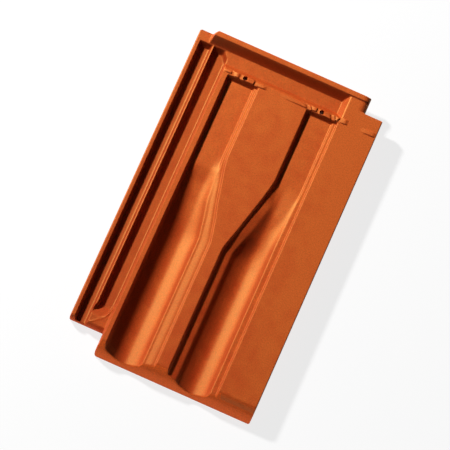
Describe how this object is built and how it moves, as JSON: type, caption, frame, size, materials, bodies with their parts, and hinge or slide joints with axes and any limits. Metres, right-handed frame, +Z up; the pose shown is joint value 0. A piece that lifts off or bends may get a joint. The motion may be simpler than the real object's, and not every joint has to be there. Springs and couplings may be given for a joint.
{
  "type": "interlocking clay roof tile",
  "caption": "Interlocking clay roof tile with twin funnel troughs, side flange with channels, overlapping flap, recessed head landing, rolled nose, nibs and nail holes.",
  "frame": {"origin": "centre of the bounding box's bottom, on the level floor the tile lies on", "axes": "+Y along the tile to its head rail, +X across to the overlapping flap, +Z up out of the weather side"},
  "size_m": [0.265, 0.45, 0.0335],
  "materials": {
    "fired_clay": "satin red-brown engobe"
  },
  "bodies": {
    "root": {"roof_tile": "fired_clay"}
  },
  "joints": []
}
